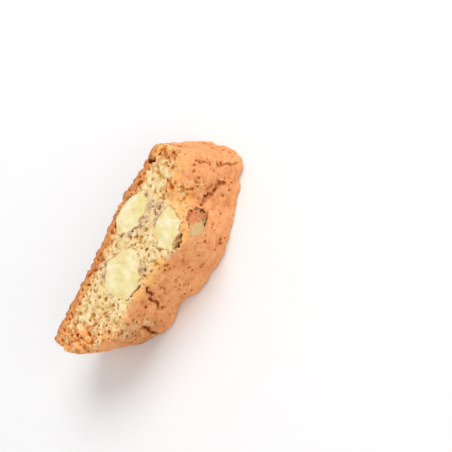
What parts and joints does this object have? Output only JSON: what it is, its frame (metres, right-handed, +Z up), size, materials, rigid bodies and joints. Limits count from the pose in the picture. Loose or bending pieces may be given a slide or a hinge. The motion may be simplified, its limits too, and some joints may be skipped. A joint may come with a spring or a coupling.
{
  "type": "biscotti",
  "caption": "Slantwise slice of a low baked loaf with a domed crust, an open crumb and whole almonds cut through at both faces, lying on one cut face.",
  "frame": {"origin": "centre of the bounding box at the surface that the slice lies on", "axes": "+X along the cut faces from the pointed tip to the high end, +Y from the domed crust to the loaf's flat base, +Z up out of the shown cut face"},
  "size_m": [0.0764, 0.0284, 0.0217],
  "materials": {
    "biscuit": "matte",
    "almond": "matte"
  },
  "bodies": {
    "root": {"biscuit": "biscuit", "almond_by_the_base": "almond", "almond_by_the_dome": "almond", "almond_at_the_centre": "almond", "almond_in_the_crust": "almond", "almond_under_the_tip": "almond", "almond_under_the_middle": "almond", "almond_under_the_end": "almond"}
  },
  "joints": []
}
